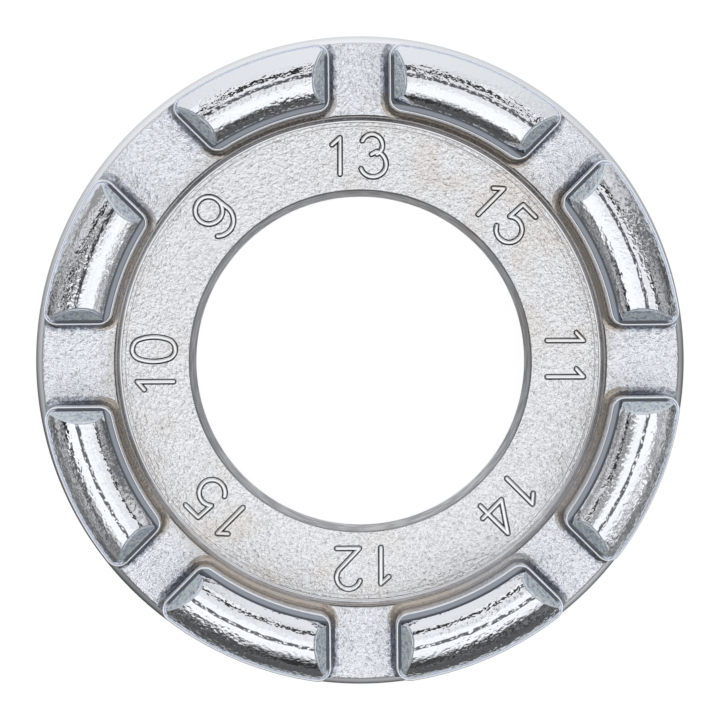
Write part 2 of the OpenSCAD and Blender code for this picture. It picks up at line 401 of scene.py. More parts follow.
class Bench:
    """A node tree that is built up by calls."""

    def __init__(self, tree):
        self.tree = tree
        self.tree.nodes.clear()

    def node(self, kind, settings, inputs):
        """A new node; inputs is a dict by name or place, or a tuple by place."""
        node = self.tree.nodes.new(kind)
        for name, value in settings.items():
            if name == "stops":
                self.set_stops(node.color_ramp.elements, value)
            else:
                setattr(node, name, value)
        pairs = inputs.items() if isinstance(inputs, dict) else enumerate(inputs)
        for key, value in pairs:
            if isinstance(value, Wire):
                self.tree.links.new(value.socket, node.inputs[key])
            else:
                node.inputs[key].default_value = value
        return node

    def set_stops(self, stops, pairs):
        """Sets a ramp's stops from pairs of a place and a grey tone."""
        while len(stops) < len(pairs):
            stops.new(0.5)
        for stop, (place, tone) in zip(stops, pairs):
            stop.position = place
            stop.color = (tone, tone, tone, 1)

    def add(self, kind, settings, inputs, output=0):
        """A new node's output, by place or name."""
        return Wire(self, self.node(kind, settings, inputs).outputs[output])

    def mix(self, amount, first, second):
        """A colour between two colours."""
        # The places, among the Mix node's sockets, of those that a mix of colours uses
        factor, colour_a, colour_b, result = 0, 6, 7, 2
        settings = {"data_type": "RGBA", "clamp_factor": True}
        inputs = {factor: amount, colour_a: first, colour_b: second}
        return self.add("ShaderNodeMix", settings, inputs, result)

    def coordinates(self, output):
        """Keeps a kind of coordinates as the place where patterns lie, with its x, y and z."""
        self.place = self.add("ShaderNodeTexCoord", {}, {}, output)
        axes = self.node("ShaderNodeSeparateXYZ", {}, (self.place,))
        self.x, self.y, self.z = (Wire(self, socket) for socket in axes.outputs)

    def noise(self, size, detail=2.0, rough=0.5, place=None):
        """Noise from 0 to 1 whose blotches are about size across."""
        inputs = {"Vector": place or self.place, "Scale": 1 / size, "Detail": detail, "Roughness": rough}
        return self.add("ShaderNodeTexNoise", {}, inputs)

    def wander(self, size):
        """Noise from -0.5 to 0.5."""
        return self.noise(size) - 0.5


class Metal(Bench):
    """A metal whose detail follows the object's own coordinates, in metres."""

    def __init__(self, name):
        material = bpy.data.materials.new(name)
        material.use_nodes = True
        super().__init__(material.node_tree)
        self.material = material
        self.coordinates("Object")
        self.radius = (self.x * self.x + self.y * self.y) ** 0.5
        self.bearing = self.x.bearing(self.y)

    def streaks(self, across, along, detail=1.0, rough=0.5):
        """Noise from 0 to 1 whose blotches are drawn out along the ring; both sizes are in metres."""
        turn = self.bearing * (RING_TOP.x / along)
        parts = (turn, self.radius / across, self.z / across)
        place = self.add("ShaderNodeCombineXYZ", {}, parts)
        return self.noise(1.0, detail, rough, place)

    def bump(self, height, depth, normal=None):
        """A normal from a height of 0 to 1 that stands for depth metres."""
        inputs = {"Strength": 1.0, "Distance": depth, "Height": height}
        if normal:
            inputs["Normal"] = normal
        return self.add("ShaderNodeBump", {}, inputs)

    def finish(self, base, roughness, normal):
        """The metal's surface."""
        inputs = {"Base Color": base, "Metallic": 1.0, "Roughness": roughness, "Normal": normal}
        surface = self.add("ShaderNodeBsdfPrincipled", {}, inputs)
        self.node("ShaderNodeOutputMaterial", {}, (surface,))
        return self.material


def rgba(colour_value, shade=1.0):
    """A colour with an alpha of 1, made lighter or darker by shade."""
    return (*(part * shade for part in colour_value), 1.0)


# Tent


# Brightness by bearing in degrees, clockwise from +Y
WALL_TONES = (
    ("far wall", 0, 0.92),
    ("far wall", 28, 0.87),
    ("far wall", 52, 0.62),
    ("gap on the right", 66, 0.34),
    ("gap on the right", 80, 0.3),
    ("right wall", 100, 0.55),
    ("right wall", 118, 0.6),
    ("near side", 142, 0.14),
    ("near side", 180, 0.1),
    ("near side", 212, 0.075),
    ("left wall", 240, 0.36),
    ("left wall", 270, 0.4),
    ("left wall", 288, 0.42),
    ("left wall", 303, 0.62),
    ("far wall", 328, 0.87),
    ("far wall", 360, 0.92),
)
# Painted brightness by bearing in degrees, clockwise from +Y, of the paper where the metal mirrors it
FLOOR_TONES = (
    ("far side", 0, 0.95),
    ("far right corner", 45, 0.78),
    ("right side", 90, 0.36),
    ("near right corner", 135, 0.56),
    ("near side", 180, 0.43),
    ("near left corner", 225, 0.26),
    ("left side", 270, 0.5),
    ("far left corner", 315, 0.88),
    ("far side", 360, 0.95),
)


def by_bearing(bench, tones):
    """Brightness by bearing from a table of tones."""
    full_turn = 2 * math.pi
    share = (bench.x.bearing(bench.y) / full_turn).fraction()
    stops = [(math.radians(bearing) / full_turn, tone) for _, bearing, tone in tones]
    return bench.add("ShaderNodeValToRGB", {"stops": stops}, {"Fac": share}, "Color")


class Tent(Bench):
    """A light tent by direction: lean is the angle from straight up in degrees, far is +Y and near is -Y."""

    edge_lean, far_drop = 46, 11
    fade_start, near_start, fade_end, near_end = 6, 5, 2, 8
    seam_half_w, seam_soft, seam_shade, seam_faint = 4.4, 1.5, 0.95, 0.8
    foot_top, foot_low, far_foot_drop, foot_tone = 62, 78, 6, 0.35
    roof_tone, far_dim, left_dim, grid_tone = 1.02, 0.2, 0.55, 0.16
    grid_size, fold_size = 1 / 9, 1 / 5
    uneven, fold_tone, glint_tone = 0.8, 0.9, 0.08

    def __init__(self, world):
        world.use_nodes = True
        super().__init__(world.node_tree)
        self.coordinates("Generated")
        self.lean = self.z.arccosine() * math.degrees(1)
        self.far = self.y.ramp(0.1, 0.4)
        self.near = self.y.ramp(-0.15, -0.45)
        self.edge = self.edge_lean - self.far_drop * self.far
        self.grid = self.noise(self.grid_size, detail=1.0).ramp(0.35, 0.65)

    def level(self):
        """The brightness of the whole tent: a top panel and walls, with a dark seam between them."""
        start = self.edge - self.fade_start - self.near_start * self.near
        end = self.edge - self.fade_end + self.near_end * self.near
        panel = 1 - self.lean.ramp(start, end)
        level = panel * self.roof() + (1 - panel) * self.sides()
        return level * (1 - self.seam_shade * self.seam())

    def roof(self):
        """The top panel, dimmer on its far half and dimmest to the left of its middle."""
        far_half = self.y.ramp(-0.05, 0.1)
        left = self.x.ramp(-0.04, -0.2) * self.y.ramp(-0.03, 0.08) * (1 - self.y.ramp(0.15, 0.3))
        dim = self.far_dim * far_half + self.left_dim * left
        return self.roof_tone - dim + self.grid_tone * self.grid

    def sides(self):
        """The walls, darker at their feet and uneven everywhere but at the far wall."""
        foot_top = self.foot_top + self.far_foot_drop * self.far
        foot = 1 - (1 - self.foot_tone) * self.lean.ramp(foot_top, self.foot_low) * (1 - self.far)
        uneven = 1 + (self.grid - 0.5) * (1 - self.far) * self.uneven
        folds = self.noise(self.fold_size).ramp(0.4, 0.6)
        folded = 1 + (folds - 0.5) * (1 - self.y.ramp(0.45, 0.8)) * self.fold_tone
        glint = self.near * self.lean.ramp(self.foot_top, self.foot_low) * self.glint_tone
        return by_bearing(self, WALL_TONES) * foot * uneven * folded + glint

    def seam(self):
        """The seam between panel and walls, which is fainter far to the right and ends at the near side."""
        right = (self.x - self.y).ramp(0.5, 0.8)
        band = (self.lean - self.edge).band(-self.seam_half_w, self.seam_half_w, self.seam_soft)
        return band * (1 - self.near) * (1 - self.seam_faint * right)


# Finishes


# How softly one finish runs into the next
SOFT = 0.01 * MM


def blasted(metal, floor, tone, paint, shade):
    """The colour and normal of blasted metal, with grain where floor is 1 and pits as dark as shade."""
    pit_rim, pit_bottom, pit_tone = 0.5, 0.25, 0.35
    grains = metal.noise(paint.grain, detail=3.0, rough=0.55)
    pits = grains.ramp(pit_rim, pit_bottom) * floor * shade
    base = metal.mix(pits, rgba(tone), rgba(tone, pit_tone))
    return base, metal.bump(grains * floor, paint.grain_h)


def browned(metal, least):
    """How brown the rings are by bearing: 1 towards both slots 15, and least halfway between them."""
    return (1 + least) / 2 + (1 - least) / 2 * (metal.bearing * 2).sine()


def shade_and_stain(metal, paint):
    """Painted shade in brown and grey soft patches, with more brown on two sides of the ring."""
    patch_size = 5 * MM
    patches = (browned(metal, 0.4) + metal.wander(patch_size)).ramp(0.2, 0.7)
    return metal.mix(patches, rgba(paint.shade_grey), rgba(paint.stain_and_shade))


def ring_metal():
    """Blasted slot floors, smooth shoulder, and painted shade in brown and grey on the step wall, with a
    dark line painted along its top edge.
    """
    sizes = bpy.context.scene.wrench_ring
    paint = bpy.context.scene.wrench_finishes
    metal = Metal("ring_metal")
    floor_z = sizes.floor_z
    floor_in_r = seat_r() + sizes.recess_slope
    floor_soft, wall_soft = 0.06 * MM, 0.1 * MM
    bottom_start, bottom_full = 0.5 * sizes.recess_h, 0.95 * sizes.recess_h
    step_wall_shade, step_foot_shade, uneven, uneven_size = 0.66, 0.22, 0.3, 2.5 * MM
    near_w, near_darkening, near_size = 1.2 * MM, 0.3, 3 * MM
    lip_h, lip_w, lip_darkening, lip_tone = 0.12 * MM, 0.15 * MM, 0.8, 0.3

    floor = metal.z.ramp(floor_z - floor_soft, floor_z - SOFT)
    base, normal = blasted(metal, floor, paint.satin, paint, paint.grain_shade)
    # Painted shade on the step wall, strongest at its top; the slot floor also darkens in patches towards
    # the step
    wall = metal.z.ramp(floor_z - SOFT, floor_z - wall_soft)
    wall = wall * metal.radius.ramp(floor_in_r + wall_soft, floor_in_r)
    bottom = metal.z.ramp(floor_z - bottom_start, floor_z - bottom_full)
    depth = wall * (step_wall_shade - (step_wall_shade - step_foot_shade) * bottom + uneven * metal.wander(uneven_size))
    near_wall = metal.radius.ramp(floor_in_r + near_w, floor_in_r) * metal.noise(near_size).ramp(0.4, 0.6)
    base = metal.mix(depth.most(near_wall * near_darkening), base, shade_and_stain(metal, paint))
    # A dark brown line painted along the top edge of the step
    lip = metal.z.band(floor_z - lip_h, floor_z - SOFT, SOFT)
    lip = lip * metal.radius.ramp(floor_in_r + lip_w, floor_in_r)
    base = metal.mix(lip * lip_darkening, base, rgba(paint.stain_and_shade, lip_tone))
    return metal.finish(base, paint.satin_rough, normal)


def number_metal():
    """Turned and blasted number face, numerals with painted shade on their sides, and a bevel round the bore
    painted darker, in streaks like turned marks and in a line along its top edge.
    """
    sizes = bpy.context.scene.wrench_ring
    paint = bpy.context.scene.wrench_finishes
    rise = bpy.context.scene.wrench_numerals.rise
    metal = Metal("number_metal")
    top = face_z(sizes)
    bevel_r = sizes.bore_r + sizes.bore_bevel
    face_soft, bevel_soft = 0.05 * MM, 0.04 * MM
    face_shade = 0.5
    tint_size, tint_share, tint_tone = 3 * MM, 0.3, 1.7
    stroke_foot, stroke_top, stroke_shade_tone = 0.015 * MM, 0.8 * rise, 0.6
    streak_w, streak_l, streak_shade_share, streak_shade_tone = 0.12 * MM, 2.5 * MM, 0.35, 1.2
    rim_low, rim_high, rim_share, painted_rim_tone = 0.08 * MM, 0.02 * MM, 0.45, 0.5
    turned_w, turned_soft, furrow_w, furrow_l = 0.8 * MM, 0.2 * MM, 0.07 * MM, 6 * MM
    wave_w, wave_l, relief_h = 0.14 * MM, 0.6 * MM, 0.02 * MM

    face = metal.z.ramp(top + SOFT, top) * metal.radius.ramp(bevel_r, bevel_r + face_soft)
    base, normal = blasted(metal, face, paint.pale, paint, paint.grain_shade * face_shade)
    tint = metal.noise(tint_size).ramp(0.45, 0.7) * browned(metal, 0) * tint_share
    base = metal.mix(tint, base, rgba(paint.stain_and_shade, tint_tone))
    # Painted shade on the numerals' sides, from their feet to just below their tops
    edge = metal.z.band(top + stroke_foot, top + stroke_top, SOFT)
    base = metal.mix(edge, base, rgba(paint.dark, stroke_shade_tone))
    # The bevel's turned marks, painted as dark streaks of shade, and a painted dark line of shade along its
    # top edge
    bevel = metal.radius.ramp(bevel_r + bevel_soft, bevel_r)
    streaks = metal.streaks(streak_w, streak_l).ramp(0.6, 0.4)
    base = metal.mix(bevel * streak_shade_share * streaks, base, rgba(paint.dark, streak_shade_tone))
    rim = bevel * metal.radius.ramp(bevel_r - rim_low, bevel_r - rim_high)
    base = metal.mix(rim * rim_share, base, rgba(paint.dark, painted_rim_tone))
    turned_edge = metal.radius.band(seat_r() - turned_w, seat_r(), turned_soft)
    relief = metal.streaks(furrow_w, furrow_l) * turned_edge + metal.streaks(wave_w, wave_l) * face
    roughness = paint.satin_rough + (paint.bevel_rough - paint.satin_rough) * bevel
    return metal.finish(base, roughness, metal.bump(relief, relief_h, normal))


def polished_chrome():
    """Mirror chrome over a skin that is not quite smooth, with a broken dark line along the crest that is a
    painted reflection.
    """
    paint = bpy.context.scene.wrench_finishes
    metal = Metal("polished_chrome")
    reflection_in, line_half_w, line_soft = 1.94 * MM, 0.11 * MM, 0.03 * MM
    reflection_lean, line_wander, wander_size = 0.07 * MM, 0.2 * MM, 0.6 * MM
    reflection_share, reflection_tone, gap_w, gap_l = 0.95, 0.6, 0.15 * MM, 0.3 * MM
    rough_size, rough_extra, ripple_stretch = 3 * MM, 1.2, 1.4
    wave_size, wave_h = 1.2 * MM, 0.02 * MM

    # The painted reflection: a dark broken line near the crest, shifted by bearing as a reflection shifts
    reflection_r = jaw_out_r() - reflection_in
    reach = metal.radius - reflection_lean * metal.bearing.cosine() + line_wander * metal.wander(wander_size)
    broken = metal.streaks(gap_w, gap_l, detail=2.0, rough=0.6).ramp(0.36, 0.5)
    line = reach.band(reflection_r - line_half_w, reflection_r + line_half_w, line_soft) * broken
    base = metal.mix(line * reflection_share, rgba(paint.chrome), rgba(paint.dark, reflection_tone))
    rough = 1 + rough_extra * metal.noise(rough_size, detail=1.0).ramp(0.48, 0.62)
    ripple = metal.streaks(paint.ripple, paint.ripple * ripple_stretch, rough=0.4) * rough
    wave = metal.noise(wave_size, detail=1.0)
    normal = metal.bump(wave, wave_h, metal.bump(ripple, paint.ripple_h))
    return metal.finish(base, paint.chrome_rough, normal)


def jaw_wall_chrome():
    """Smooth chrome on the jaws' lips, with painted shade on their walls below the lips, grainy at their
    feet and brown towards the number ring.
    """
    sizes = bpy.context.scene.wrench_ring
    jaw = bpy.context.scene.wrench_jaws
    paint = bpy.context.scene.wrench_finishes
    metal = Metal("jaw_wall_chrome")
    wall_top = sizes.floor_z + jaw.wall_h
    low_start, low_full = 0.1 * MM, 0.3 * MM
    inward_w = 1.6 * MM
    out_shade_share, in_shade_share = 0.8, 0.76
    grain_low_tone, grain_high_tone = 1.8, 0.8

    # Painted shade on the walls below the lips: dark blue-grey, with paler grains at the feet and brown and
    # grey towards the number ring
    low = metal.z.ramp(wall_top - low_start, wall_top - low_full)
    inward = metal.radius.ramp(jaw_in_r() + inward_w, jaw_in_r())
    grains = metal.noise(paint.grain, detail=3.0, rough=0.6)
    foot = metal.z.ramp(sizes.floor_z + jaw.foot, sizes.floor_z)
    dark, pale = rgba(paint.dark, grain_low_tone), rgba(paint.cut, grain_high_tone)
    shade_grey = metal.mix(foot * grains.ramp(0.4, 0.6), dark, pale)
    below = metal.mix(inward, shade_grey, shade_and_stain(metal, paint))
    base = metal.mix(low * (out_shade_share - (out_shade_share - in_shade_share) * inward), rgba(paint.chrome), below)
    return metal.finish(base, paint.satin_rough, metal.bump(grains * foot, paint.grain_h / 2))


def groove_metal():
    """The ledge between a jaw's lip and its dome, with painted shade that is darkest in the narrow grooves
    at the jaw's ends and paler inside and outside.
    """
    paint = bpy.context.scene.wrench_finishes
    metal = Metal("groove_metal")
    end_shade_tone, in_tone, out_tone = 0.8, 0.36, 0.85
    in_start, in_full, out_start, out_full = 0.45 * MM, 0.35 * MM, 0.9 * MM, 0.5 * MM
    grain_size, grain_h = 0.3 * MM, 0.01 * MM

    inner = metal.radius.ramp(jaw_in_r() + in_start, jaw_in_r() + in_full)
    outer = metal.radius.ramp(jaw_out_r() - out_start, jaw_out_r() - out_full)
    # Painted shade, darkest in the narrow grooves at the jaw's ends
    base = metal.mix(inner, rgba(paint.dark, end_shade_tone), rgba(paint.cut, in_tone))
    base = metal.mix(outer, base, rgba(paint.cut, out_tone))
    return metal.finish(base, paint.groove_rough, metal.bump(metal.noise(grain_size), grain_h))


def cut_metal():
    """The blasted cuts at the ends of the domes, with a painted highlight along their edges by the dome,
    where they are also smoother.
    """
    sizes = bpy.context.scene.wrench_jaws
    paint = bpy.context.scene.wrench_finishes
    metal = Metal("cut_metal")
    grain_size, grain_h = 0.22 * MM, 0.12 * MM
    pit_tone, grain_tone, painted_rim_tone = 0.7, 1.15, 1.1
    rim_in, rim_out = 0.17 * MM, 0.08 * MM

    grains = metal.noise(grain_size, detail=3.0, rough=0.6)
    base = metal.mix(grains.ramp(0.3, 0.55), rgba(paint.cut, pit_tone), rgba(paint.cut, grain_tone))
    out_r, in_r = dome_radii(sizes)
    off = metal.radius - (jaw_out_r() - sizes.crest)
    radius = in_r + (out_r - in_r) * off.ramp(-WELD, WELD)
    dome_top = bpy.context.scene.wrench_ring.floor_z + sizes.wall_h + sizes.dome_h
    depth = dome_top - radius + (radius * radius - off * off) ** 0.5 - metal.z
    # A painted highlight along the cut's edge by the dome, where the cut is also smoother and less rough
    rim = depth.ramp(rim_in, rim_out)
    base = metal.mix(rim, base, rgba(paint.cut, painted_rim_tone))
    roughness = paint.cut_rough - paint.cut_rough / 2 * rim
    return metal.finish(base, roughness, metal.bump(grains * (1 - rim), grain_h))


# Rings


RING_STEPS = 360


def face_z(sizes):
    """Height of the number face."""
    return sizes.floor_z - sizes.recess_h


def jaw_out_r():
    """Radius of the jaws' outer walls."""
    sizes = bpy.context.scene.wrench_ring
    return sizes.ring_r - sizes.shoulder_in


def jaw_in_r():
    """Radius of the jaws' inner walls."""
    return jaw_out_r() - bpy.context.scene.wrench_jaws.width


def seat_r():
    """Radius of the seat that the number ring sits in."""
    return jaw_in_r() - bpy.context.scene.wrench_jaws.inner_foot - bpy.context.scene.wrench_ring.recess_slope


class WRENCH_OT_body_ring(Operator):
    """Turn the carrying ring and sink a pocket for each jaw's tenon"""

    bl_idname = "wrench.body_ring"
    bl_label = "Carrying Ring"
    bl_options = {"REGISTER", "UNDO"}

    shoulder_steps = 10
    round_steps = 6

    def execute(self, context):
        sizes = context.scene.wrench_ring
        half_step = math.pi / RING_STEPS
        bm = turned(self.outline(sizes, context.scene.wrench_jaws), RING_STEPS, half_step)
        self.sink_pockets(bm, sizes, context.scene.wrench_jaws)
        finish_piece(bm, "carrying_ring", ["body_ring"], [ring_metal()])
        return {"FINISHED"}

    def outline(self, sizes, jaws):
        """The ring's section, as (radius, height)."""
        back_hole_r = seat_r() - sizes.seat_w
        seat_z = face_z(sizes) - sizes.flange_t
        shoulder_r = (sizes.shoulder_h**2 + sizes.shoulder_in**2) / (2 * sizes.shoulder_in)
        middle = (sizes.ring_r - shoulder_r, sizes.floor_z - sizes.shoulder_h)
        crown = math.asin(sizes.shoulder_h / shoulder_r)
        shoulder = arc(middle, shoulder_r, 0, crown, self.shoulder_steps)
        tenon_in, tenon_out = self.pocket_radii(sizes, jaws)
        corners = [
            (back_hole_r, 0, sizes.rim_round),
            (sizes.ring_r, 0, sizes.back_round),
            *((x, y, 0) for x, y in shoulder[:-1]),
            (*shoulder[-1], sizes.crown_round),
            (tenon_out, sizes.floor_z, 0),
            (tenon_in, sizes.floor_z, 0),
            (seat_r() + sizes.recess_slope, sizes.floor_z, sizes.edge_round),
            (seat_r() + sizes.recess_slope / 2, face_z(sizes), sizes.hollow_round),
            (seat_r(), face_z(sizes), 0),
            (seat_r(), seat_z, 0),
            (back_hole_r, seat_z, 0),
        ]
        return rounded(corners, sizes.guard, self.round_steps)

    def pocket_radii(self, sizes, jaws):
        """The inner and outer radius of the tenons' pockets."""
        middle = (jaw_in_r() + jaw_out_r()) / 2
        half = jaws.tenon_w / 2 + sizes.fit_gap
        return middle - half, middle + half

    def sink_pockets(self, bm, sizes, jaws):
        """Extrudes the floor down where a tenon goes in."""
        inner, outer = self.pocket_radii(sizes, jaws)
        half_angle = (jaws.tenon_l / 2 + sizes.fit_gap) / ((inner + outer) / 2)
        floor = []
        for face in bm.faces:
            centre = face.calc_center_median()
            bearing = math.atan2(centre.x, centre.y) % PITCH
            on_floor = abs(centre.z - sizes.floor_z) < WELD and inner < centre.xy.length < outer
            if on_floor and abs(bearing - PITCH / 2) < half_angle:
                floor.append(face)
        sunk = bmesh.ops.extrude_face_region(bm, geom=floor)["geom"]
        bmesh.ops.translate(bm, verts=verts_of(sunk), vec=-UP * (jaws.tenon_h + sizes.fit_gap))
        bmesh.ops.recalc_face_normals(bm, faces=bm.faces)


class WRENCH_OT_number_ring(Operator):
    """Turn the number ring and raise the gauge numbers on it"""

    bl_idname = "wrench.number_ring"
    bl_label = "Number Ring"
    bl_options = {"REGISTER", "UNDO"}

    def execute(self, context):
        sizes = context.scene.wrench_ring
        numerals = context.scene.wrench_numerals
        bm = turned(self.outline(sizes), RING_STEPS)
        middle = (sizes.bore_r + sizes.bore_bevel + seat_r()) / 2 + numerals.shift
        for i, gauge in enumerate(GAUGES):
            strokes = Strokes(numerals)
            strokes.mark(gauge)
            place = Matrix.Translation((0, middle - numerals.height / 2, face_z(sizes)))
            place = Matrix.Rotation(-i * PITCH - numerals.turn, 4, "Z") @ place
            clean(strokes.bm)
            bmesh.ops.transform(strokes.bm, matrix=place, verts=strokes.bm.verts)
            add_part(bm, strokes.bm)
        finish_piece(bm, "number_ring_face", ["number_ring"], [number_metal()], crease=50)
        return {"FINISHED"}

    def outline(self, sizes):
        """The ring's section, as (radius, height)."""
        top = face_z(sizes)
        seat_z = top - sizes.flange_t
        flange_r = seat_r() - sizes.fit_gap
        spigot_r = seat_r() - sizes.seat_w - sizes.fit_gap
        groove_r = flange_r - sizes.groove_in
        half_w = sizes.groove_w / 2
        soft = sizes.edge_round / 2
        corners = [
            (sizes.bore_r + sizes.bore_draft + sizes.bore_back_bevel, 0, 0),
            (spigot_r, 0, 0),
            (spigot_r, seat_z, 0),
            (flange_r, seat_z, 0),
            (flange_r, top, 0),
            (groove_r + half_w, top, sizes.guard),
            (groove_r, top - sizes.groove_h, 0),
            (groove_r - half_w, top, sizes.guard),
            (sizes.bore_r + sizes.bore_bevel, top, soft),
            (sizes.bore_r, top - sizes.bore_bevel, soft),
            (sizes.bore_r + sizes.bore_draft, sizes.bore_back_bevel, 0),
        ]
        return rounded(corners, sizes.guard)


class Strokes:
    """Draws numerals as round-topped ridges that stand on the line y = 0."""

    tens_x = -0.476
    units_x = 0.298
    one_units_x = 0.39
    section_steps = 4
    cap_steps = 8
    bow_steps = 8

    def __init__(self, sizes):
        self.sizes = sizes
        self.bm = bmesh.new()
        self.shift = 0

    def mark(self, number):
        """A number of one or two numerals."""
        drawings = dict(enumerate((self.zero, self.one, self.two, self.three, self.four, self.five)))
        drawings[9] = self.nine
        tens, units = divmod(number, 10)
        if tens:
            self.shift = self.tens_x
            drawings[tens]()
            self.shift = self.one_units_x if units == 1 else self.units_x
        drawings[units]()

    def point(self, x, y):
        """A point whose place is given as shares of the numerals' height."""
        return Vector((x + self.shift, y)) * self.sizes.height

    def half_section(self, point, side):
        """Half of a stroke's section, from the middle of its base round to the middle of its top."""
        half_w = self.sizes.stroke_w / 2
        low = -self.sizes.sink
        spots = [(0, low), (half_w, low)]
        for k in range(self.section_steps + 1):
            share = 1 - k / self.section_steps
            spots.append((half_w * share, self.sizes.rise * math.sqrt(1 - share**2)))
        return [Vector((*(point + side * x), z)) for x, z in spots]

    def section(self, point, side):
        """A stroke's whole section, as a closed run of points."""
        return self.half_section(point, side) + self.half_section(point, -side)[-2:0:-1]

    def cap(self, point, side):
        """The round end of a stroke, swept half a turn about its point, anticlockwise from side."""
        chain = open_chain(self.bm, self.half_section(point, side))
        spin(self.bm, chain, math.pi, self.cap_steps, (*point, 0))

    def line(self, start, end):
        """A straight stroke with round ends."""
        start = self.point(*start)
        end = self.point(*end)
        along = end - start
        side = Vector((along.y, -along.x)).normalized()
        loop = closed_loop(self.bm, self.section(start, side))
        grown = bmesh.ops.extrude_edge_only(self.bm, edges=edges_of(loop))["geom"]
        bmesh.ops.translate(self.bm, verts=verts_of(grown), vec=(*along, 0))
        self.cap(end, side)
        self.cap(start, -side)

    def bow(self, centre, radius, start, end):
        """A round stroke between two angles in degrees, anticlockwise, with round ends or a full turn."""
        centre = self.point(*centre)
        radius *= self.sizes.height
        start, end = math.radians(start), math.radians(end)
        out = polar(1, start)
        loop = closed_loop(self.bm, self.section(centre + out * radius, out))
        steps = max(self.bow_steps, round((end - start) * self.bow_steps))
        spin(self.bm, loop, end - start, steps, (*centre, 0))
        if end - start < 2 * math.pi - WELD:
            self.cap(centre + out * radius, -out)
            out = polar(1, end)
            self.cap(centre + out * radius, out)

    def bow_end(self, centre, radius, angle):
        """The point on a bow's middle line at an angle in degrees, in shares."""
        return Vector(centre) + polar(radius, math.radians(angle))

    def zero(self):
        half_w, half_h, end_r = 0.293, 0.512, 0.25
        rise = half_h - end_r
        side_r = (end_r**2 - half_w**2 - rise**2) / (2 * (end_r - half_w))
        turn = math.degrees(math.atan2(rise, side_r - half_w))
        for sign in (-1, 1):
            self.bow((0, 0.5 + sign * rise), end_r, sign * 90 - 90 + turn, sign * 90 + 90 - turn)
            self.bow((sign * (half_w - side_r), 0.5), side_r, 90 - sign * 90 - turn, 90 - sign * 90 + turn)

    def one(self):
        self.line((0, 0.03), (0, 0.9))
        self.line((-0.19, 0.73), (0, 0.9))

    def two(self):
        top, top_r, turn_off, base_y = (0, 0.738), 0.286, -40, 0.05
        self.bow(top, top_r, turn_off, 163)
        self.line(self.bow_end(top, top_r, turn_off), (-0.26, base_y))
        self.line((-0.26, base_y), (0.28, base_y))

    def three(self):
        low, low_r, turn_off = (0.015, 0.274), 0.31, 72
        self.bow((-0.01, 0.726), 0.25, -62, 157)
        self.bow(low, low_r, -158, turn_off)
        self.line((-0.025, 0.5), self.bow_end(low, low_r, turn_off))

    def four(self):
        upright_x, bar_y, left = 0.14, 0.3, -0.32
        self.line((upright_x, 0.05), (upright_x, 0.98))
        self.line((left, bar_y), (upright_x, 0.98))
        self.line((left, bar_y), (0.31, bar_y))

    def five(self):
        low, low_r, turn_off, corner = (0, 0.298), 0.31, 132, (-0.18, 0.952)
        self.bow(low, low_r, -152, turn_off)
        self.line(self.bow_end(low, low_r, turn_off), corner)
        self.line(corner, (0.24, 0.952))

    def nine(self):
        top, top_r = (0, 0.667), 0.325
        low, low_r = (-0.02, 0.357), 0.381
        self.bow(top, top_r, 0, 360)
        self.bow(low, low_r, -135, 0)
        self.line(self.bow_end(low, low_r, 0), self.bow_end(top, top_r, 0))


# Jaws


# Places of a jaw's materials; its walls have the first
DOME, CUT, GROOVE = 1, 2, 3


class JawShape:
    """The outline of the jaw clockwise of slot i, in a frame whose y runs outward along that slot."""

    corner_steps = 6
    outer_steps = 14
    inner_steps = 10

    def __init__(self, i, sizes, corner, gap=0):
        self.i = i
        self.sizes = sizes
        self.corner = corner
        self.gap = gap
        self.ends = [self.end(i, 1), self.end(i + 1, -1)]

    def end(self, i, sign):
        """The turn of a slot's frame, the jaw's side of it, and the centres of the jaw's corners there."""
        half_slot = self.sizes.slot_w[i % SLOTS] / 2
        inset = self.gap + self.corner
        x = half_slot + inset
        radii = (jaw_out_r() - inset, jaw_in_r() + inset)
        outer, inner = (Vector((sign * x, math.sqrt(r * r - x * x))) for r in radii)
        turn = 0 if sign > 0 else -PITCH
        return {"turn": turn, "sign": sign, "half_slot": half_slot, "outer": outer, "inner": inner}

    def corners(self, grow, steps):
        """The four rounded corners, grown outward by grow, clockwise from the inner one by slot i."""
        radius = self.corner + grow
        first, last = self.ends
        level, out, back = math.pi, self.bearing(first["outer"]), self.bearing(first["inner"]) + math.pi
        near = [arc(first["inner"], radius, back, level, steps)]
        near.append(arc(first["outer"], radius, level, out, steps))
        out, back = self.bearing(last["outer"]), self.bearing(last["inner"]) - math.pi
        far = [arc(last["outer"], radius, out, 0, steps), arc(last["inner"], radius, 0, back, steps)]
        turn = Matrix.Rotation(last["turn"], 2)
        return near + [[turn @ p for p in corner] for corner in far]

    def bearing(self, point):
        """A point's angle, from +X towards +Y."""
        return math.atan2(point.y, point.x)

    def outline(self, grow):
        """The whole outline, grown outward by grow, clockwise."""
        in_near, out_near, out_far, in_far = self.corners(grow, self.corner_steps)
        outer = self.run(out_near[-1], out_far[0], self.outer_steps)
        inner = self.run(in_far[-1], in_near[0], self.inner_steps)
        return in_near + out_near + outer + out_far + in_far + inner

    def run(self, start, end, steps):
        """Points between two points on one circle about the ring's axis, without its ends."""
        first, last = self.bearing(start), self.bearing(end)
        return arc((0, 0), start.length, first, last, steps)[1:-1]


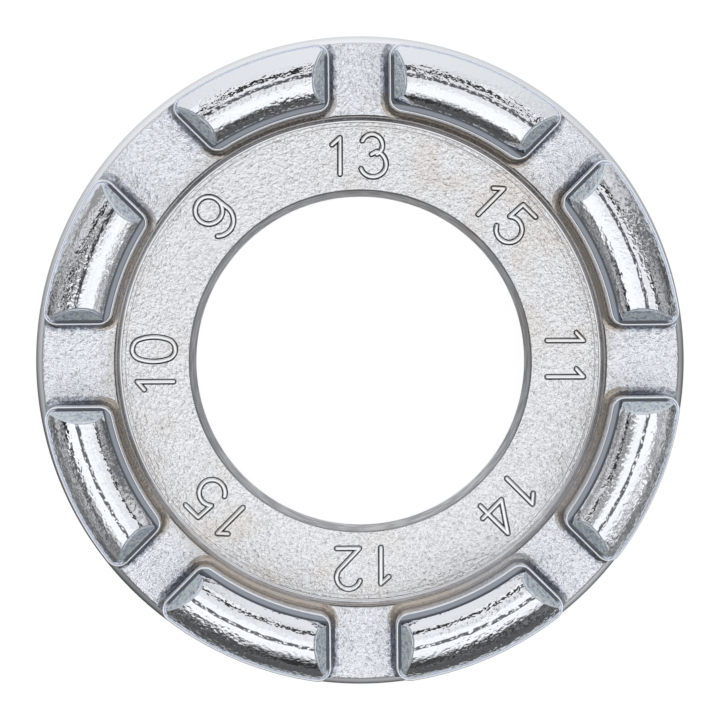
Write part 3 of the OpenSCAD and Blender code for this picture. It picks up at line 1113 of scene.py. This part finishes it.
def raise_block(shape, sizes, ring):
    """The jaw's foot, walls, lip and groove: its outline drawn in step by step as it rises."""
    bm = bmesh.new()
    top = ring.floor_z + sizes.wall_h
    foot, lip = sizes.foot, sizes.lip
    quarter_steps = 5
    quarter = [math.pi / 2 * k / quarter_steps for k in range(quarter_steps + 1)]
    section = [(foot * (1 - math.sin(a)), ring.floor_z + foot * (1 - math.cos(a))) for a in quarter]
    section += [(-lip * (1 - math.cos(a)), top - lip * (1 - math.sin(a))) for a in quarter]
    section += [(-lip * (1 + math.sin(a)), top - lip * (1 - math.cos(a))) for a in quarter[1:]]
    grow, z = section[0]
    loop = closed_loop(bm, [(*p, z) for p in shape.outline(grow)])
    cap = bmesh.ops.edgeloop_fill(bm, edges=edges_of(loop))["faces"][0]
    cap.normal_update()
    if cap.normal.z < 0:
        cap.normal_flip()
    for next_grow, next_z in section[1:]:
        draw_in(bm, cap, grow - next_grow, next_z - z)
        grow, z = next_grow, next_z
    cap.material_index = GROOVE
    draw_in(bm, cap, lip / 4, top - sizes.groove_h - z)
    floor_in_r = jaw_in_r() - sizes.inner_foot
    for vert in bm.verts:
        reach = vert.co.xy.length
        vert.co.xy *= min(max(reach, floor_in_r), jaw_out_r()) / reach
    bmesh.ops.holes_fill(bm, edges=[edge for edge in bm.edges if edge.is_boundary])
    clean(bm)
    return bm


def draw_in(bm, cap, inset, rise):
    """Insets a cap and lifts it."""
    thickness = max(inset, WELD / 10)
    even = {"use_boundary": True, "use_even_offset": True}
    bmesh.ops.inset_region(bm, faces=[cap], thickness=thickness, depth=rise, **even)


def dome_radii(sizes):
    """The radii of the dome's section, outward and inward of its crest."""
    rise = math.sin(sizes.flank)
    return (sizes.crest - sizes.ledge_out) / rise, (sizes.width - sizes.crest - sizes.ledge_in) / rise


def raise_dome(shape, sizes, ring):
    """The jaw's dome: a round section carried along the ring, cut off at both ends and at its corners."""
    bm = bmesh.new()
    top = ring.floor_z + sizes.wall_h
    crest = jaw_out_r() - sizes.crest
    sink_share, flank_steps, ring_steps, corner_steps = 1.5, 24, 45, 8
    low = top - sizes.groove_h * sink_share
    section = []
    edges = (jaw_out_r() - sizes.ledge_out, jaw_in_r() + sizes.ledge_in)
    for edge, radius, way in zip(edges, dome_radii(sizes), (1, -1)):
        middle = (crest, top + sizes.dome_h - radius)
        flank = arc(middle, radius, math.pi / 2, math.pi / 2 - way * sizes.flank, flank_steps)
        flank.append(Vector((edge, low)))
        section += flank[:0:-1] if way == 1 else flank
    spin(bm, closed_loop(bm, [(0, r, z) for r, z in section]), -PITCH, ring_steps)
    clean(bm)
    for face in bm.faces:
        face.material_index = DOME
    for end in shape.ends:
        turn = Matrix.Rotation(end["turn"], 4, "Z")
        side = Vector((-end["sign"], 0, 0))
        foot = Vector((end["sign"] * (end["half_slot"] + sizes.ledge_end), 0, top))
        normal = side * math.cos(sizes.lean) + UP * math.sin(sizes.lean)
        cut_off(bm, turn @ foot, turn @ side, DOME)
        cut_off(bm, turn @ foot, turn @ normal, CUT)
    outline = JawShape(shape.i, sizes, sizes.dome_corner, sizes.dome_gap)
    for corner in outline.corners(0, corner_steps):
        trim_corner(bm, corner, top, sizes.corner_lean)
    clean(bm)
    return bm


def trim_corner(bm, corner, z, lean):
    """Cuts the dome back, tangent by tangent, to a leaning corner whose outline at height z is given."""
    for last, here, after in zip(corner, corner[1:], corner[2:]):
        along = (after - last).normalized()
        out = Vector((-along.y, along.x, 0))
        cut_off(bm, Vector((*here, z)), out * math.cos(lean) + UP * math.sin(lean), DOME)


def cut_off(bm, point, normal, slot):
    """Cuts away what lies beyond a plane and closes the cut with the material in slot."""
    plane = {"plane_co": point, "plane_no": normal}
    geom = bm.verts[:] + bm.edges[:] + bm.faces[:]
    cut = bmesh.ops.bisect_plane(bm, geom=geom, dist=WELD, clear_outer=True, **plane)
    bmesh.ops.edgeloop_fill(bm, edges=edges_of(cut["geom_cut"]), mat_nr=slot)


def raise_tenon(sizes, ring):
    """The tenon below the jaw."""
    bm = bmesh.new()
    middle = (jaw_in_r() + jaw_out_r()) / 2
    inner, outer = middle - sizes.tenon_w / 2, middle + sizes.tenon_w / 2
    low, high = ring.floor_z - sizes.tenon_h, ring.floor_z
    angle = sizes.tenon_l / middle
    steps = 12
    start = Matrix.Rotation(math.pi / 2 - PITCH / 2 - angle / 2, 4, "Z")
    corners = ((inner, low), (outer, low), (outer, high), (inner, high))
    loop = closed_loop(bm, [start @ Vector((r, 0, z)) for r, z in corners])
    spin(bm, loop, angle, steps)
    bmesh.ops.holes_fill(bm, edges=[edge for edge in bm.edges if edge.is_boundary])
    clean(bm)
    return bm


class WRENCH_OT_jaws(Operator):
    """Raise the eight jaws, each with its foot, lip, dome and tenon"""

    bl_idname = "wrench.jaws"
    bl_label = "Jaws"
    bl_options = {"REGISTER", "UNDO"}

    def execute(self, context):
        sizes = context.scene.wrench_jaws
        ring = context.scene.wrench_ring
        metals = [jaw_wall_chrome(), polished_chrome(), cut_metal(), groove_metal()]
        for i in range(SLOTS):
            shape = JawShape(i, sizes, sizes.corner)
            bm = raise_block(shape, sizes, ring)
            add_part(bm, raise_dome(shape, sizes, ring))
            add_part(bm, raise_tenon(sizes, ring))
            bmesh.ops.rotate(bm, verts=bm.verts, matrix=Matrix.Rotation(-i * PITCH, 3, "Z"))
            marks = f"{GAUGES[i]}_{GAUGES[(i + 1) % SLOTS]}"
            finish_piece(bm, "chrome_jaw_" + marks, ["jaw_" + marks], metals, crease=30)
        return {"FINISHED"}


# Studio


class WRENCH_OT_studio(Operator):
    """Lay the wrench on pale paper under soft light and set the camera above it"""

    bl_idname = "wrench.studio"
    bl_label = "Studio"
    bl_options = {"REGISTER", "UNDO"}

    def execute(self, context):
        studio = context.scene.wrench_studio
        self.lay_paper(studio)
        self.light(context.scene)
        self.place_camera(context.scene, studio)
        context.scene.view_settings.view_transform = "Standard"
        return {"FINISHED"}

    def lay_paper(self, studio):
        """A wide sheet just below the back face."""
        size, drop = 2.0, 0.02 * MM
        bm = bmesh.new()
        bmesh.ops.create_grid(bm, x_segments=1, y_segments=1, size=size)
        bmesh.ops.translate(bm, verts=bm.verts, vec=-UP * drop)
        mesh = bpy.data.meshes.new("paper")
        bm.to_mesh(mesh)
        bm.free()
        mesh.materials.append(self.paper_material(studio))
        paper = bpy.data.objects.new("paper", mesh)
        bpy.context.scene.collection.objects.link(paper)

    def paper_material(self, studio):
        """Glowing paper, which the metal mirrors as the floor of the tent with a painted glow by bearing and
        a painted shadow beside the wrench.
        """
        inner_low, inner_high = 14 * MM, 16 * MM
        outer_low, outer_high = RING_TOP.x + 3.5 * MM, RING_TOP.x + 0.8 * MM
        far_y, near_y, far_shade, near_shade = 18 * MM, -8 * MM, 0.2, 0.8
        glow_share, glow_level = 0.85, 1.1

        material = bpy.data.materials.new("paper")
        material.use_nodes = True
        bench = Bench(material.node_tree)
        bench.coordinates("Object")
        radius = (bench.x * bench.x + bench.y * bench.y) ** 0.5
        beside = radius.ramp(inner_low, inner_high) * radius.ramp(outer_low, outer_high)
        shadow = beside * (far_shade + (near_shade - far_shade) * bench.y.ramp(far_y, near_y))
        tone = by_bearing(bench, FLOOR_TONES) * (1 - shadow)
        matt = bench.add("ShaderNodeBsdfDiffuse", {}, {"Color": rgba(studio.paper)})
        glow = bench.add("ShaderNodeEmission", {}, {"Color": WHITE, "Strength": glow_level})
        # Seen only in the metal: the paper's painted glow, with its painted shadow
        painted_glow = bench.add("ShaderNodeEmission", {}, {"Color": tone})
        by_camera = bench.add("ShaderNodeLightPath", {}, {}, "Is Camera Ray")
        by_metal = bench.add("ShaderNodeLightPath", {}, {}, "Is Glossy Ray")
        shown = bench.add("ShaderNodeMixShader", {}, (by_camera * glow_share, matt, glow))
        shown = bench.add("ShaderNodeMixShader", {}, (by_metal, shown, painted_glow))
        bench.node("ShaderNodeOutputMaterial", {}, (shown,))
        return material

    def light(self, scene):
        """The tent as the world's light; the camera sees plain white in its place."""
        scene.world = bpy.data.worlds.new("tent")
        tent = Tent(scene.world)
        level = tent.level()
        plain_level, warm_level, warm = 0.12, 0.03, (1, 0.97, 0.92)
        seen = tent.add("ShaderNodeLightPath", {}, {}, "Is Camera Ray")
        tint = tent.mix(level.ramp(plain_level, warm_level), WHITE, rgba(warm))
        parts = {"Vector": tint, "Scale": seen + (1 - seen) * level}
        light = tent.add("ShaderNodeVectorMath", {"operation": "SCALE"}, parts)
        glow = tent.add("ShaderNodeBackground", {}, {"Color": light})
        tent.node("ShaderNodeOutputWorld", {}, (glow,))

    def place_camera(self, scene, studio):
        """A long lens almost straight above the ring."""
        sensor_w = 36
        target = Vector((-0.01, 0.03, 2)) * MM
        camera = bpy.data.objects.new("camera", bpy.data.cameras.new("camera"))
        scene.collection.objects.link(camera)
        scene.camera = camera
        camera.location = target + Vector((studio.aside, studio.ahead, studio.distance))
        view = (target - camera.location).normalized()
        right = view.cross(Vector((0, 1, 0))).normalized()
        look = Matrix((right, right.cross(view), -view)).transposed()
        camera.rotation_euler = (look @ Matrix.Rotation(studio.roll, 3, "Z")).to_euler()
        camera.data.sensor_width = sensor_w
        camera.data.lens = sensor_w * studio.distance / studio.view_w
        camera.data.clip_start = 10 * MM
        camera.data.clip_end = 10000 * MM


class WRENCH_PT_panel(Panel):
    """Lists the wrench's sizes and the steps that build it"""

    bl_label = "Ring Spoke Wrench"
    bl_idname = "WRENCH_PT_panel"
    bl_space_type = "VIEW_3D"
    bl_region_type = "UI"
    bl_category = "Spoke Wrench"

    def draw(self, context):
        for name, group in SETTINGS.items():
            box = self.layout.box()
            box.label(text=group.__doc__)
            for key in group.__annotations__:
                box.prop(getattr(context.scene, name), key)
        for step in STEPS:
            self.layout.operator(step.bl_idname)


STEPS = (WRENCH_OT_body_ring, WRENCH_OT_number_ring, WRENCH_OT_jaws, WRENCH_OT_studio)
CLASSES = (*SETTINGS.values(), *STEPS, WRENCH_PT_panel)


def register():
    for cls in CLASSES:
        bpy.utils.register_class(cls)
    for name, group in SETTINGS.items():
        setattr(bpy.types.Scene, name, PointerProperty(type=group))


def unregister():
    for name in SETTINGS:
        delattr(bpy.types.Scene, name)
    for cls in reversed(CLASSES):
        bpy.utils.unregister_class(cls)


def main():
    register()
    bpy.ops.wrench.body_ring()
    bpy.ops.wrench.number_ring()
    bpy.ops.wrench.jaws()
    bpy.ops.wrench.studio()


if __name__ == "__main__":
    main()
